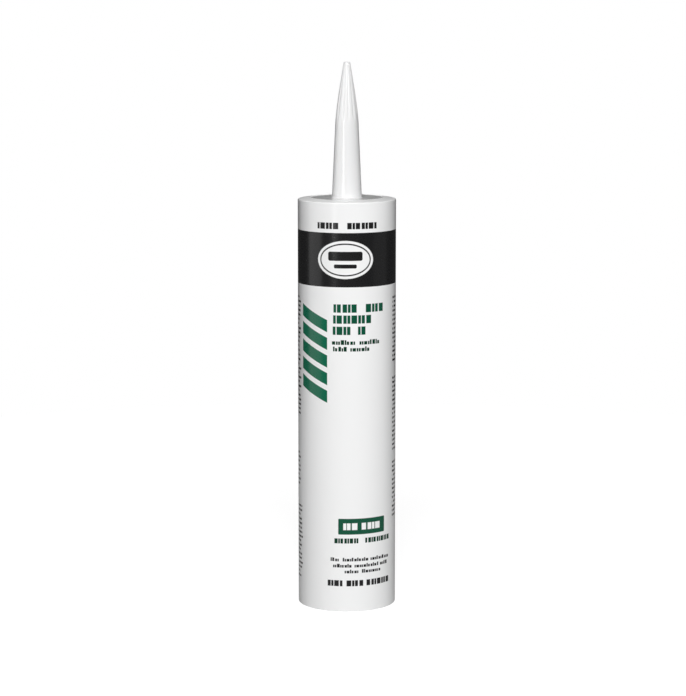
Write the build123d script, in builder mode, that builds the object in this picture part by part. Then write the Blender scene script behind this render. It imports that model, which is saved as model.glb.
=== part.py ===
from build123d import *
import os

# Gun cartridge of caulk, in millimetres. +Z runs up the tube's axis, and the base rim is at z = 0.
# It is filled from behind: nozzle, seal, sealant and plunger all go in through the open base.

# Cartridge tube
tube_diameter = 50.0
tube_height = 210.2
tube_wall = 1.4
base_chamfer = 0.3
shoulder_width = 6.5
shoulder_rise = 1.0
shoulder_corner_radius = 0.6
opening_chamfer = 0.4

# End disc of the nozzle
seat_gap = 0.05
disc_wall = 1.5
skirt_wall = 1.3
skirt_height = 6.0
boss_clearance = 0.4
boss_recess = 0.3
boss_chamfer = 0.4

# Spout of the nozzle
spout_rise = 68.0
spout_base_diameter = 15.2
spout_base_flare = 1.2
spout_wall = 1.3
ogive_length = 30.0
ogive_base_diameter = 11.7
ogive_bulge = 0.5
tip_diameter = 3.3
tip_thickness = 3.0
tip_bore_diameter = 1.4
flute_count = 12
flute_end_depth = 0.05
flute_tool_radius = 2.3
flute_tool_margin = 4.0

# Foil seal
foil_margin = 3.5
foil_thickness = 0.15

# Plunger
plunger_recess = 14.0
plunger_length = 15.0
plunger_clearance = 0.1
plunger_wall = 1.1
plunger_web = 3.0
lip_height = 1.5
lip_depth = 0.4
lip_slope = 1.0
nose_chamfer = 1.0
plate_ledge = 2.5
pocket_depth = 1.4
hub_diameter = 11.0
gate_well_diameter = 6.0
rib_count = 6
rib_width = 1.6

# Sealant
fill_gap = 0.1

os.makedirs("parts", exist_ok=True)

# Tube wall and its turned-in shoulder, one moulding, open at the base
tube_radius = tube_diameter / 2
bore_radius = tube_radius - tube_wall
opening_radius = tube_radius - shoulder_width
corner_z = tube_height - shoulder_rise
underside_z = corner_z - tube_wall
with BuildPart() as cartridge_tube:
    with BuildSketch(Plane.XZ):
        with BuildLine():
            FilletPolyline(
                (bore_radius, 0),
                (tube_radius, 0),
                (tube_radius, corner_z),
                (opening_radius + opening_chamfer, tube_height),
                (opening_radius, tube_height - opening_chamfer),
                (opening_radius, underside_z),
                (bore_radius, underside_z),
                radius=[0, 0, shoulder_corner_radius, 0, 0, 0, 0],
                close=True,
            )
        make_face()
    revolve(axis=Axis.Z)
    rings = cartridge_tube.edges().filter_by(GeomType.CIRCLE)
    chamfer(rings.group_by(Axis.Z)[0], base_chamfer)
cartridge_tube.part.label = "cartridge_tube"
export_step(cartridge_tube.part, "parts/cartridge_tube.step")

# End disc: a flange seated under the shoulder, a skirt down the bore, and a hollow boss that fills the
# opening, almost flush with the shoulder's lip
flange_radius = bore_radius - seat_gap
flange_z = underside_z - seat_gap
boss_radius = opening_radius - boss_clearance
boss_z = tube_height - boss_recess
hollow_radius = boss_radius - disc_wall
web_z = boss_z - disc_wall
skirt_radius = flange_radius - skirt_wall
skirt_z = flange_z - skirt_height
flange_under_z = flange_z - disc_wall

# Spout: a gentle cone, then a bullet-shaped end closed at the tip
spout_radius = spout_base_diameter / 2
spout_bore_radius = spout_radius - spout_wall
ogive_radius = ogive_base_diameter / 2
tip_radius = tip_diameter / 2
tip_z = tube_height + spout_rise
ogive_z = tip_z - ogive_length
ogive_middle = ((ogive_radius + tip_radius) / 2 + ogive_bulge, tip_z - ogive_length / 2)
bore_top_z = tip_z - tip_thickness

# A straight round bar laid along the bullet's chord: it cuts where the bullet swells past it, so
# each flute is deepest at mid length, meets its neighbours there and runs out at both ends
flute_run = Vector(tip_radius - ogive_radius, 0, ogive_length)
flute_offset = flute_tool_radius - flute_end_depth
flute_middle = Vector((ogive_radius + tip_radius) / 2 + flute_offset, 0, tip_z - ogive_length / 2)
flute_tool_length = flute_run.length + 2 * flute_tool_margin
flute_start = flute_middle - flute_run.normalized() * (flute_tool_length / 2)
with BuildPart() as flute_tool:
    with BuildSketch(Plane(origin=flute_start, z_dir=flute_run)):
        Circle(flute_tool_radius)
    extrude(amount=flute_tool_length)

with BuildPart() as nozzle:
    with BuildSketch(Plane.XZ):
        with BuildLine():
            Polyline(
                (flange_radius, skirt_z),
                (flange_radius, flange_z),
                (boss_radius, flange_z),
                (boss_radius, boss_z),
                (spout_radius, boss_z),
                (ogive_radius, ogive_z),
            )
            ThreePointArc((ogive_radius, ogive_z), ogive_middle, (tip_radius, tip_z))
            Polyline(
                (tip_radius, tip_z),
                (0, tip_z),
                (0, bore_top_z),
                (tip_bore_diameter / 2, bore_top_z),
                (ogive_radius - spout_wall, ogive_z),
                (spout_bore_radius, web_z),
                (hollow_radius, web_z),
                (hollow_radius, flange_under_z),
                (skirt_radius, flange_under_z),
                (skirt_radius, skirt_z),
                (flange_radius, skirt_z),
            )
        make_face()
    revolve(axis=Axis.Z)
    rings = nozzle.edges().filter_by(GeomType.CIRCLE)
    boss_rings = rings.filter_by_position(Axis.Z, boss_z, boss_z).sort_by(SortBy.RADIUS)
    chamfer(boss_rings[0], spout_base_flare)
    chamfer(boss_rings[-1], boss_chamfer)
    with PolarLocations(0, flute_count):
        add(flute_tool.part, mode=Mode.SUBTRACT)
nozzle.part.label = "nozzle"
export_step(nozzle.part, "parts/nozzle.step")

# Foil membrane sealed to the end disc's underside, over the spout's mouth
foil_z = web_z - foil_thickness
with BuildPart() as foil_seal:
    with BuildSketch(Plane.XY.offset(foil_z)):
        Circle(spout_bore_radius + foil_margin)
    extrude(amount=foil_thickness)
foil_seal.part.label = "foil_seal"
export_step(foil_seal.part, "parts/foil_seal.step")

# Plunger: a thin cup, open behind, with a wiping lip at each end and a waist between them
plunger_radius = bore_radius - plunger_clearance
waist_radius = plunger_radius - lip_depth
cup_radius = waist_radius - plunger_wall
plunger_front_z = plunger_recess + plunger_length
cup_floor_z = plunger_front_z - plunger_web
front_lip_z = plunger_front_z - nose_chamfer
rear_lip_z = plunger_recess + lip_height
pocket_radius = cup_radius - plate_ledge
with BuildPart() as plunger:
    with BuildSketch(Plane.XZ):
        with BuildLine():
            Polyline(
                (0, plunger_front_z),
                (plunger_radius - nose_chamfer, plunger_front_z),
                (plunger_radius, front_lip_z),
                (plunger_radius, front_lip_z - lip_height),
                (waist_radius, front_lip_z - lip_height - lip_slope),
                (waist_radius, rear_lip_z + lip_slope),
                (plunger_radius, rear_lip_z),
                (plunger_radius, plunger_recess),
                (cup_radius, plunger_recess),
                (cup_radius, cup_floor_z),
                (0, cup_floor_z),
                close=True,
            )
        make_face()
    revolve(axis=Axis.Z)
    # Pockets between the ribs keep the web thin, and the push plate bears on what stands
    with BuildSketch(Plane.XY.offset(cup_floor_z)):
        Circle(pocket_radius)
        with PolarLocations(0, rib_count // 2, angular_range=180):
            Rectangle(2 * pocket_radius, rib_width, mode=Mode.SUBTRACT)
        Circle(hub_diameter / 2, mode=Mode.SUBTRACT)
        Circle(gate_well_diameter / 2)
    extrude(amount=pocket_depth, mode=Mode.SUBTRACT)
plunger.part.label = "plunger"
export_step(plunger.part, "parts/plunger.step")

# Sealant: fills the bore from the plunger's face up, then the skirt, then the hollow boss under the foil
fill_radius = bore_radius - fill_gap
fill_base_z = plunger_front_z + fill_gap
fill_skirt_radius = skirt_radius - fill_gap
fill_skirt_z = skirt_z - fill_gap
fill_boss_radius = hollow_radius - fill_gap
fill_boss_z = flange_under_z - fill_gap
fill_top_z = foil_z - fill_gap
with BuildPart() as sealant:
    with BuildSketch(Plane.XZ):
        with BuildLine():
            Polyline(
                (0, fill_base_z),
                (fill_radius, fill_base_z),
                (fill_radius, fill_skirt_z),
                (fill_skirt_radius, fill_skirt_z),
                (fill_skirt_radius, fill_boss_z),
                (fill_boss_radius, fill_boss_z),
                (fill_boss_radius, fill_top_z),
                (0, fill_top_z),
                close=True,
            )
        make_face()
    revolve(axis=Axis.Z)
sealant.part.label = "sealant"
export_step(sealant.part, "parts/sealant.step")
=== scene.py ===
import math

import bpy
import numpy as np
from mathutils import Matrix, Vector


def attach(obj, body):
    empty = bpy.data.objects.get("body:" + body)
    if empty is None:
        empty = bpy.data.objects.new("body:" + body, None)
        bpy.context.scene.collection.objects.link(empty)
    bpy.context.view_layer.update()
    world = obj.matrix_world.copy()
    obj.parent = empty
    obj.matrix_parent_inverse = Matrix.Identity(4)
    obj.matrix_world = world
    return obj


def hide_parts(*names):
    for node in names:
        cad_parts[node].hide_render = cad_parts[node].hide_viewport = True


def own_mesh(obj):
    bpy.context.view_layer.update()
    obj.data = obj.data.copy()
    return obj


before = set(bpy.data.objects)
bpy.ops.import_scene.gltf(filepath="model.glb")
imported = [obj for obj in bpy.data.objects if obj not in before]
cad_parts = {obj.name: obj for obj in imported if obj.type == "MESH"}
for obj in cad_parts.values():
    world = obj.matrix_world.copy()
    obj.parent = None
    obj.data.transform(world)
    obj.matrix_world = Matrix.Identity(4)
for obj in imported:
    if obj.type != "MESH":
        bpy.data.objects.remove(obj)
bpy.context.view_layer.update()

# Cartridge tube: a white polyethylene moulding, wall and turned-in shoulder in one, open at the base.
# It is printed straight on the plastic in black and green inks and lacquered, so it has a soft gloss.
# Nozzle, fill and plunger all go in from behind and are held by this tube.
MM = 0.001
TUBE_R = 25.0
TUBE_BORE_R = 23.6
TUBE_COLUMNS = 256
SHOULDER_TOP = 210.2
SHOULDER_EDGE = 209.2
SHOULDER_UNDER = 207.8
OPENING_R = 18.5
SEAM_Z = 100


def rounded_outline(corners, radii, steps=7, collar=0.06):
    """Rounds the inner corners of an open (r, z) outline. Each corner becomes an arc tangent to both
    of its sides, with points at even turns, and one point a collar's length before and after it."""
    p = np.asarray(corners, float)
    mid = p[1:-1]
    to_last = p[:-2] - mid
    to_next = p[2:] - mid
    to_last /= np.linalg.norm(to_last, axis=1, keepdims=True)
    to_next /= np.linalg.norm(to_next, axis=1, keepdims=True)
    half = np.arccos(np.clip((to_last * to_next).sum(1), -1, 1)) / 2
    size = np.asarray(radii, float)
    reach = (size / np.tan(half))[:, None]
    bisector = to_last + to_next
    bisector /= np.linalg.norm(bisector, axis=1, keepdims=True)
    centre = mid + bisector * (size / np.sin(half))[:, None]
    first = mid + to_last * reach - centre
    last = mid + to_next * reach - centre
    turn = (np.pi - 2 * half)[:, None, None]
    t = np.linspace(0, 1, steps)[None, :, None]
    arc = np.sin((1 - t) * turn) * first[:, None] + np.sin(t * turn) * last[:, None]
    arc = arc / np.sin(turn) + centre[:, None]
    before = (mid + to_last * (reach + collar))[:, None]
    after = (mid + to_next * (reach + collar))[:, None]
    body = np.concatenate((before, arc, after), axis=1).reshape(-1, 2)
    return np.concatenate((p[:1], body, p[-1:]))


def turned_skin(name, radius, height, columns):
    """Turns an outline about the tube's axis: the point at angle a is (r sin a, -r cos a, z), so angle
    0 is the label's front. Rows of one point on the axis close as fans, and other outlines are rings."""
    angle = np.linspace(0, 2 * np.pi, columns, endpoint=False)[None, :]
    rows = len(radius)
    r = np.broadcast_to(np.reshape(radius, (rows, -1)), (rows, columns))
    z = np.broadcast_to(np.reshape(height, (rows, -1)), (rows, columns))
    co = np.stack((r * np.sin(angle), -r * np.cos(angle), z), axis=-1) * MM
    if r[0].max() > 0:
        here = np.arange(rows * columns).reshape(rows, columns)
        above = np.roll(here, -1, 0)
        quads = np.stack((here, np.roll(here, -1, 1), np.roll(above, -1, 1), above), axis=-1)
        points = co.reshape(-1, 3)
        corners = quads.ravel()
        sizes = np.full(rows * columns, 4)
    else:
        points = np.concatenate((co[0, :1], co[1:-1].reshape(-1, 3), co[-1, :1]))
        here = np.arange((rows - 2) * columns).reshape(rows - 2, columns) + 1
        beside = np.roll(here, -1, 1)
        quads = np.stack((here[:-1], beside[:-1], beside[1:], here[1:]), axis=-1)
        start = np.stack((np.zeros_like(here[0]), beside[0], here[0]), axis=-1)
        end = np.stack((here[-1], beside[-1], np.full_like(here[0], len(points) - 1)), axis=-1)
        corners = np.concatenate((start.ravel(), quads.ravel(), end.ravel()))
        fan = np.full(columns, 3)
        sizes = np.concatenate((fan, np.full((rows - 3) * columns, 4), fan))
    mesh = bpy.data.meshes.new(name)
    mesh.vertices.add(len(points))
    mesh.vertices.foreach_set("co", points.ravel())
    mesh.loops.add(len(corners))
    mesh.loops.foreach_set("vertex_index", corners)
    mesh.polygons.add(len(sizes))
    mesh.polygons.foreach_set("loop_start", np.cumsum(sizes) - sizes)
    mesh.polygons.foreach_set("use_smooth", np.ones(len(sizes), bool))
    mesh.update(calc_edges=True)
    piece = bpy.data.objects.new(name, mesh)
    bpy.context.scene.collection.objects.link(piece)
    return piece


def feed(tree, socket, value):
    """Fills one input: another node's output is linked to it, and a plain value is written on it."""
    if isinstance(value, bpy.types.NodeSocket):
        tree.links.new(value, socket)
    else:
        socket.default_value = value


def step(tree, kind, *values, **settings):
    """One node: its settings, then its inputs in order."""
    made = tree.nodes.new("ShaderNode" + kind)
    for key, value in settings.items():
        setattr(made, key, value)
    for socket, value in zip(made.inputs, values):
        feed(tree, socket, value)
    return made.outputs[0]


def calc(tree, operation, *values, clamp=False):
    """One arithmetic node on numbers."""
    return step(tree, "Math", *values, operation=operation, use_clamp=clamp)


def vec(tree, operation, *values):
    """One arithmetic node on vectors."""
    made = step(tree, "VectorMath", *values, operation=operation).node
    return made.outputs["Value" if operation == "LENGTH" else "Vector"]


def tint(tree, share, under, over):
    """Lays one colour over another by a share from 0 to 1."""
    made = tree.nodes.new("ShaderNodeMix")
    made.data_type = "RGBA"
    feed(tree, made.inputs[0], share)
    feed(tree, made.inputs[6], under)
    feed(tree, made.inputs[7], over)
    return made.outputs[2]


def grain(tree, place, scale, detail=2.0):
    """Soft noise from 0 to 1 at a place in millimetres, with that many waves to the millimetre."""
    made = tree.nodes.new("ShaderNodeTexNoise")
    made.inputs["Scale"].default_value = scale
    made.inputs["Detail"].default_value = detail
    tree.links.new(place, made.inputs["Vector"])
    return made.outputs[0]


def new_finish(name):
    """A new material, with its tree, its shader and the place on the piece in millimetres."""
    material = bpy.data.materials.new(name)
    material.use_nodes = True
    tree = material.node_tree
    place = vec(tree, "SCALE", tree.nodes.new("ShaderNodeTexCoord").outputs["Object"])
    place.node.inputs["Scale"].default_value = 1 / MM
    return material, tree, tree.nodes["Principled BSDF"], place


def emboss(tree, shader, height, strength, depth):
    """Raises the surface by a height from 0 to 1, as relief of that depth in millimetres."""
    bump = tree.nodes.new("ShaderNodeBump")
    bump.inputs["Strength"].default_value = strength
    bump.inputs["Distance"].default_value = depth * MM
    tree.links.new(height, bump.inputs["Height"])
    tree.links.new(bump.outputs[0], shader.inputs["Normal"])


INK_EDGE = 0.16


def ink_under(tree, measure, limit, unit=1.0):
    """1 where a measure, in units of so many millimetres, is under a limit in millimetres. The ink
    fades over the width of one ink edge."""
    return calc(tree, "MULTIPLY_ADD", measure, -unit / INK_EDGE, 0.5 + limit / INK_EDGE, clamp=True)


def off_middle(tree, count):
    """How far a count is from the middle of its whole step: 0 at the middle and 0.5 at the ends."""
    return calc(tree, "ABSOLUTE", calc(tree, "SUBTRACT", calc(tree, "FRACT", count), 0.5))


def all_inks(tree, inks):
    """Union of several inks: the strongest at each point."""
    total = inks[0]
    for ink in inks[1:]:
        total = calc(tree, "MAXIMUM", total, ink)
    return total


def ink_field(tree, across, low, high):
    """1 between two edges of one measure and 0 outside them."""
    off = calc(tree, "ABSOLUTE", calc(tree, "SUBTRACT", across, (low + high) / 2))
    return ink_under(tree, off, (high - low) / 2)


def ink_oval(tree, place, centre, wide, high):
    """1 inside an oval and 0 outside it."""
    out = vec(tree, "SUBTRACT", place, (*centre, 0))
    out = vec(tree, "LENGTH", vec(tree, "MULTIPLY", out, (1 / wide, 1 / high, 0)))
    return ink_under(tree, out, high, high)


def ink_bars(tree, place, bars, round_off=1.0):
    """Union of bars on the unrolled wall. A bar is (left, right, middle, half height): the ink is full
    where the distance to the bar's inner box is under its corner radius."""
    inks = []
    for left, right, middle, half in bars:
        corner = min(half * 0.7, (right - left) * 0.35, round_off)
        out = vec(tree, "SUBTRACT", place, ((left + right) / 2, middle, 0))
        out = vec(tree, "ABSOLUTE", out)
        out = vec(tree, "SUBTRACT", out, ((right - left) / 2 - corner, half - corner, 0))
        out = vec(tree, "LENGTH", vec(tree, "MAXIMUM", out, (0, 0, 0)))
        inks.append(ink_under(tree, out, corner))
    return all_inks(tree, inks)


SWAY = 0.2
SOLID_HALF = 0.41
LOW_SHARE = 0.68
LOW_TOP = 0.42
ROW_HALF = 0.24
RAGGED_END = 3.5


def printed_line(tree, place, along, middle, half, block, groups, low_blocks=False):
    """One line of print: a bar for each group, cut into upright blocks. Blocks are counted by s / block
    plus a sine of it, so their widths differ, and each whole number is a gap. Groups end at gaps. In
    lines of low blocks, most blocks lose their top."""
    wave_number = 2.3 / block
    s = np.linspace(-40, 40, 16001)
    count = s / block + SWAY * np.sin(wave_number * s + middle)
    gaps = s[1:][np.diff(np.floor(count)) > 0]
    ends = [[gaps[np.abs(gaps - edge).argmin()] for edge in group] for group in groups]
    line = ink_bars(tree, place, [(left, right, middle, half) for left, right in ends], 0.2)
    wave = calc(tree, "SINE", calc(tree, "MULTIPLY_ADD", along, wave_number, middle))
    number = calc(tree, "MULTIPLY_ADD", wave, SWAY, calc(tree, "DIVIDE", along, block))
    solid = ink_under(tree, off_middle(tree, number), SOLID_HALF * block - 0.03, block)
    line = calc(tree, "MULTIPLY", line, solid)
    if low_blocks:
        own = step(tree, "CombineXYZ", calc(tree, "FLOOR", number), middle, 0.0)
        low = calc(tree, "LESS_THAN", step(tree, "TexWhiteNoise", own), LOW_SHARE)
        height = step(tree, "SeparateXYZ", place).node.outputs[1]
        top = calc(tree, "GREATER_THAN", height, middle + half * LOW_TOP)
        line = calc(tree, "SUBTRACT", line, calc(tree, "MULTIPLY", low, top), clamp=True)
    return line


def small_print(tree, along, height, low, high, blocks, pitch=2.3, dash=4.2):
    """Rows of dashes between two edges, in blocks of whole rows. A row is the middle half of each pitch.
    Dashes are counted by s / dash plus a sine, shifted at random for each row, and each whole number is
    a gap. The rows' far ends are ragged."""
    row = calc(tree, "DIVIDE", height, pitch)
    ink = ink_under(tree, off_middle(tree, row), ROW_HALF * pitch, pitch)
    own = step(tree, "CombineXYZ", calc(tree, "FLOOR", row), low, 0.0)
    chance = step(tree, "TexWhiteNoise", own)
    wave = calc(tree, "MULTIPLY_ADD", chance, 40.0, calc(tree, "MULTIPLY", along, 0.7))
    count = calc(tree, "DIVIDE", along, dash)
    count = calc(tree, "MULTIPLY_ADD", calc(tree, "SINE", wave), SWAY, count)
    count = calc(tree, "MULTIPLY_ADD", chance, 7.0, count)
    solid = ink_under(tree, off_middle(tree, count), SOLID_HALF * dash, dash)
    ink = calc(tree, "MULTIPLY", ink, solid)
    start = calc(tree, "GREATER_THAN", along, low)
    end = calc(tree, "LESS_THAN", along, calc(tree, "MULTIPLY_ADD", chance, -RAGGED_END, high))
    ink = calc(tree, "MULTIPLY", ink, calc(tree, "MULTIPLY", start, end))
    fields = [ink_field(tree, height, round(first / pitch) * pitch, round(last / pitch) * pitch)
              for first, last in blocks]
    return calc(tree, "MULTIPLY", ink, all_inks(tree, fields))


# Print, in millimetres on the unrolled wall: s runs right from the front, z up from the base. A line is
# its middle height, half height, block width and groups, and True where its blocks are mostly low.
BAND = (166.8, 194.1)
OVAL = (-0.8, 180.6)
OVAL_SIZE = (14.6, 9.6)
RING_OUTSIDE = (13.3, 8.3)
RING_INSIDE = (12.6, 7.6)
OVAL_BARS = ((-9.6, 8.0, 182.4, 2.3), (-6.6, 5.0, 177.3, 1.0))
BLACK_LINES = (
    (197.6, 1.6, 2.3, ((-17.0, -3.6), (0.6, 16.2))),
    (27.2, 0.95, 1.25, ((-8.8, -3.4), (-2.2, 11.2), (12.4, 25.6)), True),
    (24.0, 0.95, 1.25, ((-7.4, 2.2), (3.6, 17.2), (18.6, 24.0)), True),
    (21.0, 0.95, 1.25, ((-0.8, 6.4), (7.8, 19.0)), True),
    (14.8, 1.55, 2.1, ((-9.4, -2.4), (0.2, 8.6), (10.8, 25.6))))
SIDE_PRINT = (
    (29.6, 72.0, ((46.5, 75.4), (81.4, 119.4), (125.4, 162.0))),
    (-72.0, -29.8, ((62.5, 79.4), (98.4, 162.0))),
    (-72.0, -28.2, ((13.8, 52.9),)))
SLANT_PITCH = 9.0
SLANT_SLOPE = 0.42
SLANT_ENDS = (102.6, 146.7)
SLANT_START = 102.14
SLANT_HALF = 0.345 * SLANT_PITCH
COLUMN = (-27.4, -10.2)
FIELD = (-4.4, 21.6, 44.3, 4.1)
FIELD_LINE = (44.3, 1.75, 2.6, ((-1.9, 5.2), (7.6, 19.2)))
GREEN_LINES = (
    (156.1, 2.1, 2.5, ((-7.0, 6.4), (8.6, 18.8))),
    (150.5, 2.1, 2.5, ((-7.0, 12.4),)),
    (144.8, 2.1, 2.5, ((-7.0, 2.0), (4.2, 10.2))))
DARK_LINES = (
    (36.9, 1.3, 1.6, ((-7.0, 7.0), (9.6, 25.0))),
    (138.9, 1.2, 1.5, ((-6.8, 4.2), (5.8, 18.0)), True),
    (135.5, 1.2, 1.5, ((-6.8, 0.4), (2.0, 11.8)), True))
TUBE_WHITE = (0.885, 0.885, 0.885, 1)
TUBE_SHADE = (0.868, 0.872, 0.872, 1)
# The column's green is the label's own green painted lighter: a painted highlight on the column of slanted
# bars.
COLUMN_GREEN_PAINTED_LIGHTER = (0.003, 0.128, 0.066, 1)
LABEL_GREEN = (0.002, 0.078, 0.039, 1)
DARK_GREEN = (0.001, 0.036, 0.016, 1)
BLACK_INK = (0.011, 0.011, 0.0115, 1)
OUTER_SKIN = 0.3


def printed_plastic():
    """White plastic with the label's inks: black band and lines, green column, field and lines. The column's
    green is the label's green painted lighter, a painted highlight across the column. The inks lie on the
    outer wall alone. They cover almost fully, and stand a little proud of the plastic."""
    material, tree, shader, place = new_finish("tube_printed_plastic")
    x, y, z = step(tree, "SeparateXYZ", place).node.outputs
    along = calc(tree, "ARCTAN2", x, calc(tree, "MULTIPLY", y, -1.0))
    along = calc(tree, "MULTIPLY", along, TUBE_R)
    wall = step(tree, "CombineXYZ", along, z, 0.0)

    oval = ink_oval(tree, wall, OVAL, *OVAL_SIZE)
    ring = calc(tree, "SUBTRACT", ink_oval(tree, wall, OVAL, *RING_OUTSIDE),
                ink_oval(tree, wall, OVAL, *RING_INSIDE))
    band = calc(tree, "SUBTRACT", ink_field(tree, z, *BAND), oval, clamp=True)
    black = all_inks(tree, [band, ring, ink_bars(tree, wall, OVAL_BARS)]
                     + [printed_line(tree, wall, along, *line) for line in BLACK_LINES]
                     + [small_print(tree, along, z, *panel) for panel in SIDE_PRINT])

    slope = calc(tree, "MULTIPLY_ADD", along, SLANT_SLOPE, z)
    slant = calc(tree, "MULTIPLY_ADD", slope, 1 / SLANT_PITCH, -SLANT_START / SLANT_PITCH)
    slant = ink_under(tree, off_middle(tree, slant), SLANT_HALF, SLANT_PITCH)
    slant = calc(tree, "MULTIPLY", slant, ink_field(tree, slope, *SLANT_ENDS))
    column = calc(tree, "MULTIPLY", slant, ink_field(tree, along, *COLUMN))
    field = calc(tree, "SUBTRACT", ink_bars(tree, wall, (FIELD,), 0.5),
                 printed_line(tree, wall, along, *FIELD_LINE), clamp=True)
    green = all_inks(tree, [field] + [printed_line(tree, wall, along, *line) for line in GREEN_LINES])
    dark = all_inks(tree, [printed_line(tree, wall, along, *line) for line in DARK_LINES])

    radius = calc(tree, "ADD", calc(tree, "MULTIPLY", x, x), calc(tree, "MULTIPLY", y, y))
    outside = calc(tree, "GREATER_THAN", calc(tree, "SQRT", radius), TUBE_R - OUTER_SKIN)
    cover = calc(tree, "MULTIPLY_ADD", grain(tree, wall, 3.0, 3.0), 0.03, 0.984, clamp=True)
    cover = calc(tree, "MULTIPLY", cover, outside)
    colour = tint(tree, grain(tree, place, 0.03), TUBE_WHITE, TUBE_SHADE)
    # The column's lighter green is a painted highlight; the other inks are their own colours.
    for ink, ink_colour in ((column, COLUMN_GREEN_PAINTED_LIGHTER), (green, LABEL_GREEN), (dark, DARK_GREEN),
                            (black, BLACK_INK)):
        colour = tint(tree, calc(tree, "MULTIPLY", ink, cover), colour, ink_colour)
    tree.links.new(colour, shader.inputs["Base Color"])
    inked = calc(tree, "MULTIPLY", all_inks(tree, [black, green, dark, column]), cover)

    peel = grain(tree, place, 1.6, 3.0)
    streaks = step(tree, "CombineXYZ", calc(tree, "MULTIPLY", along, 1.4),
                   calc(tree, "MULTIPLY", z, 0.02), 0.0)
    gloss = calc(tree, "MULTIPLY_ADD", peel, 0.08, 0.26)
    gloss = calc(tree, "MULTIPLY_ADD", inked, -0.02, gloss)
    tree.links.new(gloss, shader.inputs["Roughness"])
    relief = calc(tree, "MULTIPLY_ADD", grain(tree, streaks, 1.0), 0.5, calc(tree, "MULTIPLY", peel, 0.5))
    relief = calc(tree, "MULTIPLY_ADD", inked, 0.6, relief)
    emboss(tree, shader, relief, 0.25, 0.02)
    shader.inputs["IOR"].default_value = 1.48
    shader.inputs["Specular IOR Level"].default_value = 0.12
    tree.links.new(outside, shader.inputs["Coat Weight"])
    shader.inputs["Coat Roughness"].default_value = 0.2
    shader.inputs["Coat IOR"].default_value = 1.4
    return material


tube_line = rounded_outline(
    ((TUBE_R, SEAM_Z), (TUBE_R, SHOULDER_EDGE), (OPENING_R, SHOULDER_TOP), (OPENING_R, SHOULDER_UNDER),
     (TUBE_BORE_R, SHOULDER_UNDER), (TUBE_BORE_R, 0), (TUBE_R, 0), (TUBE_R, SEAM_Z)),
    (0.6, 0.45, 0.25, 0.2, 0.3, 0.35))[:-1]
tube = turned_skin("tube_wall", tube_line[:, 0], tube_line[:, 1], TUBE_COLUMNS)
tube.data.materials.append(printed_plastic())
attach(tube, "cartridge")
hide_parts("cartridge_tube")

# Nozzle: one polypropylene moulding of end disc and spout. The disc is pressed in from behind until its
# flange seats under the shoulder, and its boss fills the tube's opening, almost flush with the lip.
# The spout is a slow cone, then a fluted bullet shape, closed at the tip until it is cut.
FLANGE_R = 23.55
FLANGE_Z = 207.75
FLANGE_UNDER = 206.25
SKIRT_R = 22.25
SKIRT_Z = 201.75
BOSS_R = 18.1
BOSS_Z = 209.9
HOLLOW_R = 16.6
WEB_Z = 208.4
SPOUT_R = 7.6
SPOUT_WALL = 1.3
CONE_TOP_Z = 246.4
OGIVE_Z = 248.2
OGIVE_LENGTH = 30.0
OGIVE_R = 5.85
OGIVE_FIRST_Z = 247.0
OGIVE_LAST_Z = 277.7
OGIVE_ROWS = 84
SWELL = 0.55
SWELL_FALL = 0.45
TIP_R = 1.65
TIP_Z = 278.2
TIP_ROUND = 0.45
TIP_INSET = 0.42
BORE_TOP_Z = 275.2
BORE_TOP_R = 0.7
FLUTES = 12
FLUTE_TURN = math.radians(8)
FLUTE_WIDTH = math.radians(5.5)
FLUTE_DEPTH = 0.34
FLUTE_FALL = 0.68
FLUTE_RUN_IN = 0.16
NOZZLE_COLUMNS = 288


def spout_skin(z, angle):
    """Radius of the fluted bullet: a line from its base to its tip, swollen by t(1-t) towards the base,
    less narrow grooves. A groove is a bell curve of angle, deepest before mid length."""
    t = (z - OGIVE_Z) / OGIVE_LENGTH
    swell = 4 * t * (1 - t) * (SWELL - SWELL_FALL * t)
    bare = OGIVE_R + (TIP_R - OGIVE_R) * t + swell
    pitch = 2 * np.pi / FLUTES
    off = (angle - FLUTE_TURN + pitch / 2) % pitch - pitch / 2
    groove = np.exp(-(off / FLUTE_WIDTH) ** 2)
    start = np.clip(t / FLUTE_RUN_IN, 0, 1)
    depth = FLUTE_DEPTH * start ** 2 * (3 - 2 * start) * (1 - FLUTE_FALL * t)
    return bare - depth * groove


def moulded_white(name, colour, shade, roughness, wave):
    """Unprinted moulded plastic: faint cloudiness, flow marks along the axis and fine skin grain."""
    material, tree, shader, place = new_finish(name)
    flow = grain(tree, vec(tree, "MULTIPLY", place, (1, 1, 0.08)), wave, 3.0)
    skin = grain(tree, place, 5.0)
    tree.links.new(tint(tree, flow, colour, shade), shader.inputs["Base Color"])
    gloss = calc(tree, "MULTIPLY_ADD", skin, 0.10, roughness - 0.05)
    tree.links.new(gloss, shader.inputs["Roughness"])
    relief = calc(tree, "MULTIPLY_ADD", flow, 0.6, calc(tree, "MULTIPLY", skin, 0.4))
    emboss(tree, shader, relief, 0.3, 0.03)
    shader.inputs["IOR"].default_value = 1.48
    return material


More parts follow.
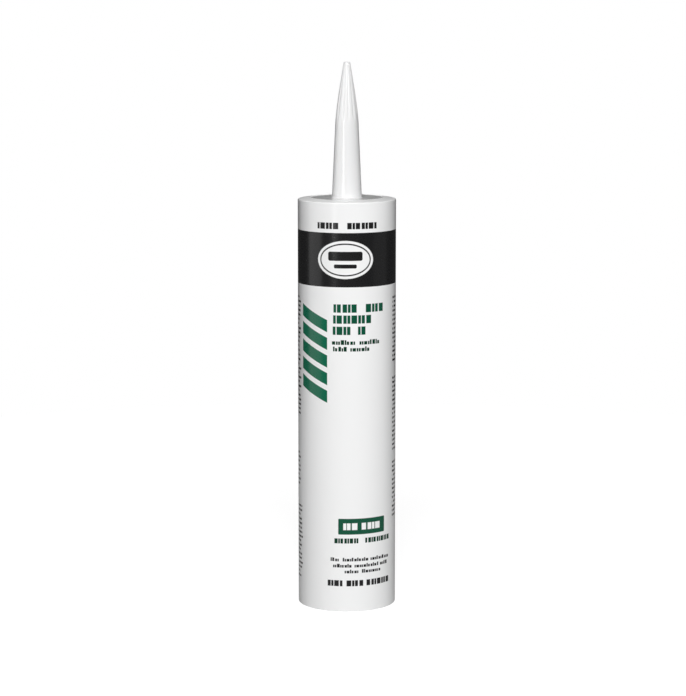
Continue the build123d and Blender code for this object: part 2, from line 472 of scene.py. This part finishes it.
disc_line = rounded_outline(
    ((0, BORE_TOP_Z), (BORE_TOP_R, BORE_TOP_Z), (OGIVE_R - SPOUT_WALL, OGIVE_Z),
     (SPOUT_R - SPOUT_WALL, WEB_Z), (HOLLOW_R, WEB_Z), (HOLLOW_R, FLANGE_UNDER), (SKIRT_R, FLANGE_UNDER),
     (SKIRT_R, SKIRT_Z), (FLANGE_R, SKIRT_Z), (FLANGE_R, FLANGE_Z), (BOSS_R, FLANGE_Z), (BOSS_R, BOSS_Z),
     (SPOUT_R, BOSS_Z), (OGIVE_R + 0.08, CONE_TOP_Z)),
    (0.2, 3.0, 0.3, 0.3, 0.3, 0.3, 0.3, 0.3, 0.3, 0.2, 0.4, 0.7))
nozzle_angle = np.linspace(0, 2 * np.pi, NOZZLE_COLUMNS, endpoint=False)[None, :]
nozzle_ring = np.ones((1, NOZZLE_COLUMNS))
ogive_z = np.linspace(OGIVE_FIRST_Z, OGIVE_LAST_Z, OGIVE_ROWS)[:, None]
tip_turn = np.linspace(0, np.pi / 2, 7)[1:, None]
tip_r = TIP_R - TIP_INSET + TIP_ROUND * np.cos(tip_turn)
tip_z = TIP_Z - TIP_ROUND + TIP_ROUND * np.sin(tip_turn)
nozzle_r = np.concatenate((disc_line[:, :1] * nozzle_ring, spout_skin(ogive_z, nozzle_angle),
                           tip_r * nozzle_ring, 0 * nozzle_ring))
nozzle_z = np.concatenate((disc_line[:, 1:] * nozzle_ring, ogive_z * nozzle_ring,
                           tip_z * nozzle_ring, TIP_Z * nozzle_ring))
nozzle = turned_skin("nozzle_moulding", nozzle_r, nozzle_z, NOZZLE_COLUMNS)
nozzle_plastic = moulded_white("nozzle_plastic", (0.80, 0.80, 0.80, 1), (0.78, 0.782, 0.785, 1), 0.14, 0.7)
nozzle_shader = nozzle_plastic.node_tree.nodes["Principled BSDF"]
nozzle_shader.inputs["Subsurface Weight"].default_value = 0.15
nozzle_shader.inputs["Subsurface Radius"].default_value = (1.6, 1.5, 1.4)
nozzle_shader.inputs["Subsurface Scale"].default_value = MM
nozzle.data.materials.append(nozzle_plastic)
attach(nozzle, "cartridge")
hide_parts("nozzle")

# Foil seal: a disc of aluminium foil, heat-sealed to the end disc's underside over the spout's mouth.
# The user pierces it through the spout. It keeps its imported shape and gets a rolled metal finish.
FOIL_BRIGHT = (0.80, 0.81, 0.82, 1)
FOIL_DULL = (0.70, 0.71, 0.73, 1)
foil_metal, foil_tree, foil_shader, foil_place = new_finish("foil_rolled")
rolled = grain(foil_tree, vec(foil_tree, "MULTIPLY", foil_place, (0.15, 4, 1)), 1.0, 3.0)
foil_tree.links.new(tint(foil_tree, rolled, FOIL_BRIGHT, FOIL_DULL), foil_shader.inputs["Base Color"])
foil_gloss = calc(foil_tree, "MULTIPLY_ADD", rolled, 0.2, 0.24)
foil_tree.links.new(foil_gloss, foil_shader.inputs["Roughness"])
emboss(foil_tree, foil_shader, grain(foil_tree, foil_place, 0.5, 3.0), 0.5, 0.1)
foil_shader.inputs["Metallic"].default_value = 1.0
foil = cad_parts["foil_seal"]
foil.data.materials.clear()
foil.data.materials.append(foil_metal)

# Sealant: about 300 mL of white acrylic paste, filled from behind against the end disc.
# It fills the bore and the skirt, and it shortens towards the nozzle as the plunger pushes it out.
FILL_GAP = 0.1
FILL_BASE = 29.1
FILL_TOP = 208.15
FILL_COLUMNS = 192
fill_line = rounded_outline(
    ((0, FILL_BASE), (TUBE_BORE_R - FILL_GAP, FILL_BASE), (TUBE_BORE_R - FILL_GAP, SKIRT_Z - FILL_GAP),
     (SKIRT_R - FILL_GAP, SKIRT_Z - FILL_GAP), (SKIRT_R - FILL_GAP, FLANGE_UNDER - FILL_GAP),
     (HOLLOW_R - FILL_GAP, FLANGE_UNDER - FILL_GAP), (HOLLOW_R - FILL_GAP, FILL_TOP), (0, FILL_TOP)),
    (0.5, 0.3, 0.3, 0.3, 0.3, 0.3))
fill = turned_skin("sealant_fill", fill_line[:, 0], fill_line[:, 1], FILL_COLUMNS)
fill_paste = moulded_white("sealant_paste", (0.86, 0.86, 0.84, 1), (0.82, 0.82, 0.80, 1), 0.42, 0.25)
fill.data.materials.append(fill_paste)
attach(fill, "cartridge")
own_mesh(fill)
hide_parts("sealant")

# Plunger: a thin polyethylene cup, pushed in behind the fill, with a wiping lip at each end of its wall.
# Its web has six ribs round a hub, where the gun's push plate bears, and a well where it was moulded.
PLUNGER_R = 23.5
WAIST_R = 23.1
CUP_R = 22.0
CUP_BACK = 14
BACK_LIP_END = 15.5
WAIST_BACK = 16.5
WAIST_FRONT = 25.5
CUP_FLOOR = 26.0
FRONT_LIP_START = 26.5
FRONT_LIP_END = 28
CUP_FRONT = 29
NOSE_R = 22.5
POCKET_R = 19.5
POCKET_DEPTH = 1.4
POCKET_DRAFT = 0.35
HUB_R = 5.5
WELL_R = 3.0
RIB_HALF = 0.8
WEB_ROWS = 100
PLUNGER_COLUMNS = 360


def web_underside(r, angle):
    """Height of the ribbed web from below: the floor, raised by the pocket depth wherever a point lies
    inside the pocket ring and off the ribs. The walls lean as a smooth step, as moulded draft does."""
    rib = np.abs((angle + np.pi / 6) % (np.pi / 3) - np.pi / 6)
    inside = np.minimum(np.minimum(r - HUB_R, POCKET_R - r), r * np.sin(rib) - RIB_HALF)
    inside = np.maximum(inside, WELL_R - r)
    t = np.clip(inside / POCKET_DRAFT + 0.5, 0, 1)
    return CUP_FLOOR + POCKET_DEPTH * t * t * (3 - 2 * t)


cup_line = rounded_outline(
    ((CUP_R - 1.5, CUP_FLOOR), (CUP_R, CUP_FLOOR), (CUP_R, CUP_BACK), (PLUNGER_R, CUP_BACK),
     (PLUNGER_R, BACK_LIP_END), (WAIST_R, WAIST_BACK), (WAIST_R, WAIST_FRONT),
     (PLUNGER_R, FRONT_LIP_START), (PLUNGER_R, FRONT_LIP_END), (NOSE_R, CUP_FRONT), (0, CUP_FRONT)),
    (0.5, 0.3, 0.2, 0.3, 0.4, 0.4, 0.3, 0.3, 0.4))
plunger_angle = np.linspace(0, 2 * np.pi, PLUNGER_COLUMNS, endpoint=False)[None, :]
plunger_ring = np.ones((1, PLUNGER_COLUMNS))
web_r = np.linspace(0, CUP_R - 1.6, WEB_ROWS)[:, None]
plunger_r = np.concatenate((web_r * plunger_ring, cup_line[:, :1] * plunger_ring))
plunger_z = np.concatenate((web_underside(web_r, plunger_angle), cup_line[:, 1:] * plunger_ring))
plunger = turned_skin("plunger_cup", plunger_r, plunger_z, PLUNGER_COLUMNS)
plunger_plastic = moulded_white("plunger_plastic", (0.84, 0.84, 0.83, 1), (0.80, 0.80, 0.79, 1), 0.5, 0.9)
plunger.data.materials.append(plunger_plastic)
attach(plunger, "plunger")
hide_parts("plunger")

# Studio: a pale round floor that takes the object's shadow, and a room that is white to the camera. The
# room is dim in reflections, so the tube's edges read against the white. The floor is clear from below
# and casts no shadow itself, so the lamp below shines through it.
FLOOR_R = 0.6
FLOOR_SIDES = 96
FLOOR_GLOW = 0.82
FLOOR_GREY = (0.33, 0.33, 0.33, 1)
ROOM_DIM = (0.03, 0.03, 0.03, 1)
WHITE = (1, 1, 1, 1)
floor_turn = np.linspace(0, 2 * np.pi, FLOOR_SIDES, endpoint=False)
floor_points = np.stack((FLOOR_R * np.cos(floor_turn), FLOOR_R * np.sin(floor_turn), 0 * floor_turn), axis=1)
floor_mesh = bpy.data.meshes.new("floor")
floor_mesh.from_pydata(floor_points.tolist(), [], [list(range(FLOOR_SIDES))])
floor = bpy.data.objects.new("floor", floor_mesh)
bpy.context.scene.collection.objects.link(floor)
floor.visible_shadow = False
floor_paint = bpy.data.materials.new("floor_paint")
floor_paint.use_nodes = True
floor_tree = floor_paint.node_tree
floor_tree.nodes.clear()
floor_seen = floor_tree.nodes.new("ShaderNodeLightPath").outputs["Is Camera Ray"]
floor_glow = step(floor_tree, "Emission", WHITE, calc(floor_tree, "MULTIPLY", floor_seen, FLOOR_GLOW))
floor_lit = step(floor_tree, "AddShader", floor_glow, step(floor_tree, "BsdfDiffuse", FLOOR_GREY))
floor_clear = step(floor_tree, "BsdfTransparent")
floor_side = floor_tree.nodes.new("ShaderNodeNewGeometry").outputs["Backfacing"]
floor_skin = step(floor_tree, "MixShader", floor_side, floor_lit, floor_clear)
floor_out = floor_tree.nodes.new("ShaderNodeOutputMaterial")
floor_tree.links.new(floor_skin, floor_out.inputs["Surface"])
floor_mesh.materials.append(floor_paint)

world = bpy.data.worlds.new("studio")
bpy.context.scene.world = world
world.use_nodes = True
sky = world.node_tree
sky.nodes.clear()
sky_path = sky.nodes.new("ShaderNodeLightPath")
seen = calc(sky, "MAXIMUM", sky_path.outputs["Is Camera Ray"], sky_path.outputs["Is Transmission Ray"])
sky_out = sky.nodes.new("ShaderNodeOutputWorld")
sky.links.new(step(sky, "Background", tint(sky, seen, ROOM_DIM, WHITE), 1.0), sky_out.inputs["Surface"])

# Lamps: a large soft light in front, strips that draw the highlights on band and spout, weak fills at
# both sides, soft light from behind, above and below, and a narrow spot on the spout's left side.
OBJECT_MIDDLE = (0, 0, 0.13)
SPOUT_MIDDLE = (0, 0, 0.25)


def hang(name, lamp, place, target):
    """Puts a lamp at a place, facing a target."""
    made = bpy.data.objects.new(name, lamp)
    made.location = place
    made.rotation_euler = (Vector(target) - Vector(place)).to_track_quat("-Z", "Y").to_euler()
    bpy.context.scene.collection.objects.link(made)
    return made


def softbox(name, place, wide, high, watts):
    """A rectangular lamp, facing the middle of the object."""
    lamp = bpy.data.lights.new(name, "AREA")
    lamp.shape = "RECTANGLE"
    lamp.size = wide
    lamp.size_y = high
    lamp.energy = watts
    return hang(name, lamp, place, OBJECT_MIDDLE)


softbox("front_box", (-0.03, -1.98, 1.42), 1.1, 1.1, 60.2)
softbox("spout_strip", (-0.58, -1.05, 0.36), 0.04, 0.46, 2.2).visible_diffuse = False
softbox("left_strip", (-1.2, -0.21, 0.25), 0.85, 0.9, 2.1).visible_diffuse = False
softbox("left_fill", (-1.2, -0.21, 0.25), 0.7, 0.9, 1.4).visible_glossy = False
softbox("right_strip", (1.2, -0.12, 0.25), 0.9, 0.9, 0.35)
softbox("right_fill", (1.2, -0.25, 0.25), 0.9, 0.9, 2.0).visible_glossy = False
softbox("back_box", (0, 2.0, 0.12), 1.2, 0.8, 36).visible_glossy = False
softbox("under_box", (0, 0, -1.0), 0.6, 0.6, 6.5)
softbox("top_box", (0, -0.1, 1.9), 1.0, 1.0, 2.8)
spot = bpy.data.lights.new("spout_spot", "SPOT")
spot.energy = 11.0
spot.spot_size = math.radians(4.4)
spot.spot_blend = 1.0
spot.shadow_soft_size = 0.01
hang("spout_spot", spot, (-1.15, -0.55, 0.22), SPOUT_MIDDLE).visible_glossy = False

# Camera: a long lens in front of the label, a little higher than the spout's tip, and tilted down to the
# middle of the object.
CAMERA_PITCH = 8.4851
CAMERA_YAW = 0.0907
camera = bpy.data.objects.new("camera", bpy.data.cameras.new("camera"))
camera.data.sensor_width = 36
camera.data.lens = 127.483
camera.data.clip_start = 0.05
camera.location = (0, -1.250, 0.3189)
camera.rotation_euler = (math.radians(90 - CAMERA_PITCH), 0, math.radians(CAMERA_YAW))
bpy.context.scene.collection.objects.link(camera)
bpy.context.scene.camera = camera
bpy.context.scene.view_settings.view_transform = "Standard"
